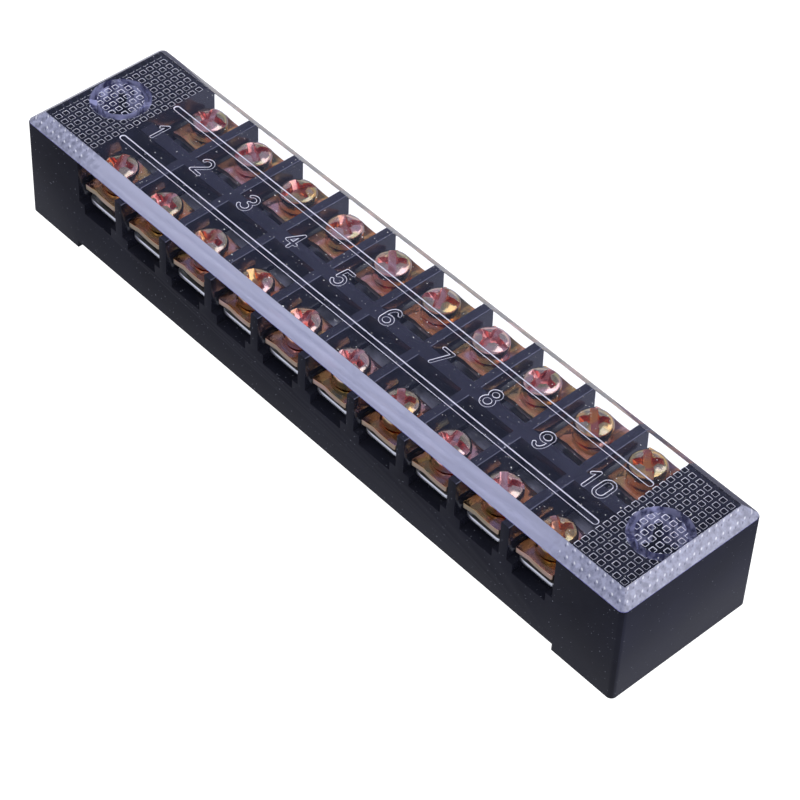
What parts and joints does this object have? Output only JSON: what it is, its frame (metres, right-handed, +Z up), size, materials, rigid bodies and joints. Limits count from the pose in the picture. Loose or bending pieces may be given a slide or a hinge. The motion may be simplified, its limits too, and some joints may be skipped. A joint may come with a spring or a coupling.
{
  "type": "barrier terminal strip",
  "caption": "Two-row barrier terminal strip with screw clamps on through bars, a clear push-on cover and a mounting hole in each end block.",
  "frame": {"origin": "on the underside, midway between the two feet", "axes": "+X along the strip, +Y across it from the front row to the rear row, +Z up through the cover"},
  "size_m": [0.1102, 0.023, 0.0173],
  "materials": {
    "black_moulding": "fine satin moulding",
    "clear_cover": "clear, polished",
    "silver_bar": "bright plated",
    "yellow_zinc_clamp": "yellow passivated zinc",
    "yellow_zinc_screw": "yellow passivated zinc"
  },
  "bodies": {
    "base": {"barrier_base": "black_moulding", "terminal_bar_01": "silver_bar", "terminal_bar_02": "silver_bar", "terminal_bar_03": "silver_bar", "terminal_bar_04": "silver_bar", "terminal_bar_05": "silver_bar", "terminal_bar_06": "silver_bar", "terminal_bar_07": "silver_bar", "terminal_bar_08": "silver_bar", "terminal_bar_09": "silver_bar", "terminal_bar_10": "silver_bar"},
    "cover": {"clear_cover": "clear_cover"},
    "clamp_front_01": {"clamp_front_01": "yellow_zinc_clamp"},
    "screw_front_01": {"screw_front_01": "yellow_zinc_screw"},
    "clamp_rear_01": {"clamp_rear_01": "yellow_zinc_clamp"},
    "screw_rear_01": {"screw_rear_01": "yellow_zinc_screw"},
    "clamp_front_02": {"clamp_front_02": "yellow_zinc_clamp"},
    "screw_front_02": {"screw_front_02": "yellow_zinc_screw"},
    "clamp_rear_02": {"clamp_rear_02": "yellow_zinc_clamp"},
    "screw_rear_02": {"screw_rear_02": "yellow_zinc_screw"},
    "clamp_front_03": {"clamp_front_03": "yellow_zinc_clamp"},
    "screw_front_03": {"screw_front_03": "yellow_zinc_screw"},
    "clamp_rear_03": {"clamp_rear_03": "yellow_zinc_clamp"},
    "screw_rear_03": {"screw_rear_03": "yellow_zinc_screw"},
    "clamp_front_04": {"clamp_front_04": "yellow_zinc_clamp"},
    "screw_front_04": {"screw_front_04": "yellow_zinc_screw"},
    "clamp_rear_04": {"clamp_rear_04": "yellow_zinc_clamp"},
    "screw_rear_04": {"screw_rear_04": "yellow_zinc_screw"},
    "clamp_front_05": {"clamp_front_05": "yellow_zinc_clamp"},
    "screw_front_05": {"screw_front_05": "yellow_zinc_screw"},
    "clamp_rear_05": {"clamp_rear_05": "yellow_zinc_clamp"},
    "screw_rear_05": {"screw_rear_05": "yellow_zinc_screw"},
    "clamp_front_06": {"clamp_front_06": "yellow_zinc_clamp"},
    "screw_front_06": {"screw_front_06": "yellow_zinc_screw"},
    "clamp_rear_06": {"clamp_rear_06": "yellow_zinc_clamp"},
    "screw_rear_06": {"screw_rear_06": "yellow_zinc_screw"},
    "clamp_front_07": {"clamp_front_07": "yellow_zinc_clamp"},
    "screw_front_07": {"screw_front_07": "yellow_zinc_screw"},
    "clamp_rear_07": {"clamp_rear_07": "yellow_zinc_clamp"},
    "screw_rear_07": {"screw_rear_07": "yellow_zinc_screw"},
    "clamp_front_08": {"clamp_front_08": "yellow_zinc_clamp"},
    "screw_front_08": {"screw_front_08": "yellow_zinc_screw"},
    "clamp_rear_08": {"clamp_rear_08": "yellow_zinc_clamp"},
    "screw_rear_08": {"screw_rear_08": "yellow_zinc_screw"},
    "clamp_front_09": {"clamp_front_09": "yellow_zinc_clamp"},
    "screw_front_09": {"screw_front_09": "yellow_zinc_screw"},
    "clamp_rear_09": {"clamp_rear_09": "yellow_zinc_clamp"},
    "screw_rear_09": {"screw_rear_09": "yellow_zinc_screw"},
    "clamp_front_10": {"clamp_front_10": "yellow_zinc_clamp"},
    "screw_front_10": {"screw_front_10": "yellow_zinc_screw"},
    "clamp_rear_10": {"clamp_rear_10": "yellow_zinc_clamp"},
    "screw_rear_10": {"screw_rear_10": "yellow_zinc_screw"}
  },
  "joints": [
    {"name": "cover_lift", "type": "slide", "parent": "base", "child": "cover", "axis": [0, 0, 1], "range_m": [0, 0.03]},
    {"name": "clamp_front_01_lift", "type": "slide", "parent": "base", "child": "clamp_front_01", "axis": [0, 0, 1], "range_m": [-0.00177, 0.00012]},
    {"name": "screw_front_01_turn", "type": "hinge", "parent": "clamp_front_01", "child": "screw_front_01", "pos_m": [-0.0405, -0.0074, 0.01238], "axis": [0, 0, 1], "range_deg": [-1274.5, 86.5]},
    {"name": "clamp_rear_01_lift", "type": "slide", "parent": "base", "child": "clamp_rear_01", "axis": [0, 0, 1], "range_m": [-0.00127, 0.00062]},
    {"name": "screw_rear_01_turn", "type": "hinge", "parent": "clamp_rear_01", "child": "screw_rear_01", "pos_m": [-0.0405, 0.0074, 0.01188], "axis": [0, 0, 1], "range_deg": [-914.5, 446.5]},
    {"name": "clamp_front_02_lift", "type": "slide", "parent": "base", "child": "clamp_front_02", "axis": [0, 0, 1], "range_m": [-0.00147, 0.00042]},
    {"name": "screw_front_02_turn", "type": "hinge", "parent": "clamp_front_02", "child": "screw_front_02", "pos_m": [-0.0315, -0.0074, 0.01208], "axis": [0, 0, 1], "range_deg": [-1058.5, 302.6]},
    {"name": "clamp_rear_02_lift", "type": "slide", "parent": "base", "child": "clamp_rear_02", "axis": [0, 0, 1], "range_m": [-0.00147, 0.00042]},
    {"name": "screw_rear_02_turn", "type": "hinge", "parent": "clamp_rear_02", "child": "screw_rear_02", "pos_m": [-0.0315, 0.0074, 0.01208], "axis": [0, 0, 1], "range_deg": [-1058.5, 302.6]},
    {"name": "clamp_front_03_lift", "type": "slide", "parent": "base", "child": "clamp_front_03", "axis": [0, 0, 1], "range_m": [-0.00152, 0.00037]},
    {"name": "screw_front_03_turn", "type": "hinge", "parent": "clamp_front_03", "child": "screw_front_03", "pos_m": [-0.0225, -0.0074, 0.01213], "axis": [0, 0, 1], "range_deg": [-1094.5, 266.5]},
    {"name": "clamp_rear_03_lift", "type": "slide", "parent": "base", "child": "clamp_rear_03", "axis": [0, 0, 1], "range_m": [-0.00117, 0.00072]},
    {"name": "screw_rear_03_turn", "type": "hinge", "parent": "clamp_rear_03", "child": "screw_rear_03", "pos_m": [-0.0225, 0.0074, 0.01178], "axis": [0, 0, 1], "range_deg": [-842.5, 518.6]},
    {"name": "clamp_front_04_lift", "type": "slide", "parent": "base", "child": "clamp_front_04", "axis": [0, 0, 1], "range_m": [-0.00112, 0.00077]},
    {"name": "screw_front_04_turn", "type": "hinge", "parent": "clamp_front_04", "child": "screw_front_04", "pos_m": [-0.0135, -0.0074, 0.01173], "axis": [0, 0, 1], "range_deg": [-806.5, 554.5]},
    {"name": "clamp_rear_04_lift", "type": "slide", "parent": "base", "child": "clamp_rear_04", "axis": [0, 0, 1], "range_m": [-0.00137, 0.00052]},
    {"name": "screw_rear_04_turn", "type": "hinge", "parent": "clamp_rear_04", "child": "screw_rear_04", "pos_m": [-0.0135, 0.0074, 0.01198], "axis": [0, 0, 1], "range_deg": [-986.5, 374.5]},
    {"name": "clamp_front_05_lift", "type": "slide", "parent": "base", "child": "clamp_front_05", "axis": [0, 0, 1], "range_m": [-0.00107, 0.00082]},
    {"name": "screw_front_05_turn", "type": "hinge", "parent": "clamp_front_05", "child": "screw_front_05", "pos_m": [-0.0045, -0.0074, 0.01168], "axis": [0, 0, 1], "range_deg": [-770.6, 590.5]},
    {"name": "clamp_rear_05_lift", "type": "slide", "parent": "base", "child": "clamp_rear_05", "axis": [0, 0, 1], "range_m": [-0.00157, 0.00032]},
    {"name": "screw_rear_05_turn", "type": "hinge", "parent": "clamp_rear_05", "child": "screw_rear_05", "pos_m": [-0.0045, 0.0074, 0.01218], "axis": [0, 0, 1], "range_deg": [-1130.5, 230.5]},
    {"name": "clamp_front_06_lift", "type": "slide", "parent": "base", "child": "clamp_front_06", "axis": [0, 0, 1], "range_m": [-0.00097, 0.00092]},
    {"name": "screw_front_06_turn", "type": "hinge", "parent": "clamp_front_06", "child": "screw_front_06", "pos_m": [0.0045, -0.0074, 0.01158], "axis": [0, 0, 1], "range_deg": [-698.6, 662.5]},
    {"name": "clamp_rear_06_lift", "type": "slide", "parent": "base", "child": "clamp_rear_06", "axis": [0, 0, 1], "range_m": [-0.00177, 0.00012]},
    {"name": "screw_rear_06_turn", "type": "hinge", "parent": "clamp_rear_06", "child": "screw_rear_06", "pos_m": [0.0045, 0.0074, 0.01238], "axis": [0, 0, 1], "range_deg": [-1274.5, 86.5]},
    {"name": "clamp_front_07_lift", "type": "slide", "parent": "base", "child": "clamp_front_07", "axis": [0, 0, 1], "range_m": [-0.00092, 0.00097]},
    {"name": "screw_front_07_turn", "type": "hinge", "parent": "clamp_front_07", "child": "screw_front_07", "pos_m": [0.0135, -0.0074, 0.01153], "axis": [0, 0, 1], "range_deg": [-662.5, 698.6]},
    {"name": "clamp_rear_07_lift", "type": "slide", "parent": "base", "child": "clamp_rear_07", "axis": [0, 0, 1], "range_m": [-0.00172, 0.00017]},
    {"name": "screw_rear_07_turn", "type": "hinge", "parent": "clamp_rear_07", "child": "screw_rear_07", "pos_m": [0.0135, 0.0074, 0.01233], "axis": [0, 0, 1], "range_deg": [-1238.5, 122.5]},
    {"name": "clamp_front_08_lift", "type": "slide", "parent": "base", "child": "clamp_front_08", "axis": [0, 0, 1], "range_m": [-0.00107, 0.00082]},
    {"name": "screw_front_08_turn", "type": "hinge", "parent": "clamp_front_08", "child": "screw_front_08", "pos_m": [0.0225, -0.0074, 0.01168], "axis": [0, 0, 1], "range_deg": [-770.6, 590.5]},
    {"name": "clamp_rear_08_lift", "type": "slide", "parent": "base", "child": "clamp_rear_08", "axis": [0, 0, 1], "range_m": [-0.00162, 0.00027]},
    {"name": "screw_rear_08_turn", "type": "hinge", "parent": "clamp_rear_08", "child": "screw_rear_08", "pos_m": [0.0225, 0.0074, 0.01223], "axis": [0, 0, 1], "range_deg": [-1166.5, 194.5]},
    {"name": "clamp_front_09_lift", "type": "slide", "parent": "base", "child": "clamp_front_09", "axis": [0, 0, 1], "range_m": [-0.00117, 0.00072]},
    {"name": "screw_front_09_turn", "type": "hinge", "parent": "clamp_front_09", "child": "screw_front_09", "pos_m": [0.0315, -0.0074, 0.01178], "axis": [0, 0, 1], "range_deg": [-842.5, 518.6]},
    {"name": "clamp_rear_09_lift", "type": "slide", "parent": "base", "child": "clamp_rear_09", "axis": [0, 0, 1], "range_m": [-0.00167, 0.00022]},
    {"name": "screw_rear_09_turn", "type": "hinge", "parent": "clamp_rear_09", "child": "screw_rear_09", "pos_m": [0.0315, 0.0074, 0.01228], "axis": [0, 0, 1], "range_deg": [-1202.5, 158.5]},
    {"name": "clamp_front_10_lift", "type": "slide", "parent": "base", "child": "clamp_front_10", "axis": [0, 0, 1], "range_m": [-0.00107, 0.00082]},
    {"name": "screw_front_10_turn", "type": "hinge", "parent": "clamp_front_10", "child": "screw_front_10", "pos_m": [0.0405, -0.0074, 0.01168], "axis": [0, 0, 1], "range_deg": [-770.6, 590.5]},
    {"name": "clamp_rear_10_lift", "type": "slide", "parent": "base", "child": "clamp_rear_10", "axis": [0, 0, 1], "range_m": [-0.00177, 0.00012]},
    {"name": "screw_rear_10_turn", "type": "hinge", "parent": "clamp_rear_10", "child": "screw_rear_10", "pos_m": [0.0405, 0.0074, 0.01238], "axis": [0, 0, 1], "range_deg": [-1274.5, 86.5]}
  ],
  "couplings": [
    {"joint": "screw_front_01_turn", "follows": "clamp_front_01_lift", "rad_per_m": 12566},
    {"joint": "screw_rear_01_turn", "follows": "clamp_rear_01_lift", "rad_per_m": 12566},
    {"joint": "screw_front_02_turn", "follows": "clamp_front_02_lift", "rad_per_m": 12566},
    {"joint": "screw_rear_02_turn", "follows": "clamp_rear_02_lift", "rad_per_m": 12566},
    {"joint": "screw_front_03_turn", "follows": "clamp_front_03_lift", "rad_per_m": 12566},
    {"joint": "screw_rear_03_turn", "follows": "clamp_rear_03_lift", "rad_per_m": 12566},
    {"joint": "screw_front_04_turn", "follows": "clamp_front_04_lift", "rad_per_m": 12566},
    {"joint": "screw_rear_04_turn", "follows": "clamp_rear_04_lift", "rad_per_m": 12566},
    {"joint": "screw_front_05_turn", "follows": "clamp_front_05_lift", "rad_per_m": 12566},
    {"joint": "screw_rear_05_turn", "follows": "clamp_rear_05_lift", "rad_per_m": 12566},
    {"joint": "screw_front_06_turn", "follows": "clamp_front_06_lift", "rad_per_m": 12566},
    {"joint": "screw_rear_06_turn", "follows": "clamp_rear_06_lift", "rad_per_m": 12566},
    {"joint": "screw_front_07_turn", "follows": "clamp_front_07_lift", "rad_per_m": 12566},
    {"joint": "screw_rear_07_turn", "follows": "clamp_rear_07_lift", "rad_per_m": 12566},
    {"joint": "screw_front_08_turn", "follows": "clamp_front_08_lift", "rad_per_m": 12566},
    {"joint": "screw_rear_08_turn", "follows": "clamp_rear_08_lift", "rad_per_m": 12566},
    {"joint": "screw_front_09_turn", "follows": "clamp_front_09_lift", "rad_per_m": 12566},
    {"joint": "screw_rear_09_turn", "follows": "clamp_rear_09_lift", "rad_per_m": 12566},
    {"joint": "screw_front_10_turn", "follows": "clamp_front_10_lift", "rad_per_m": 12566},
    {"joint": "screw_rear_10_turn", "follows": "clamp_rear_10_lift", "rad_per_m": 12566}
  ]
}
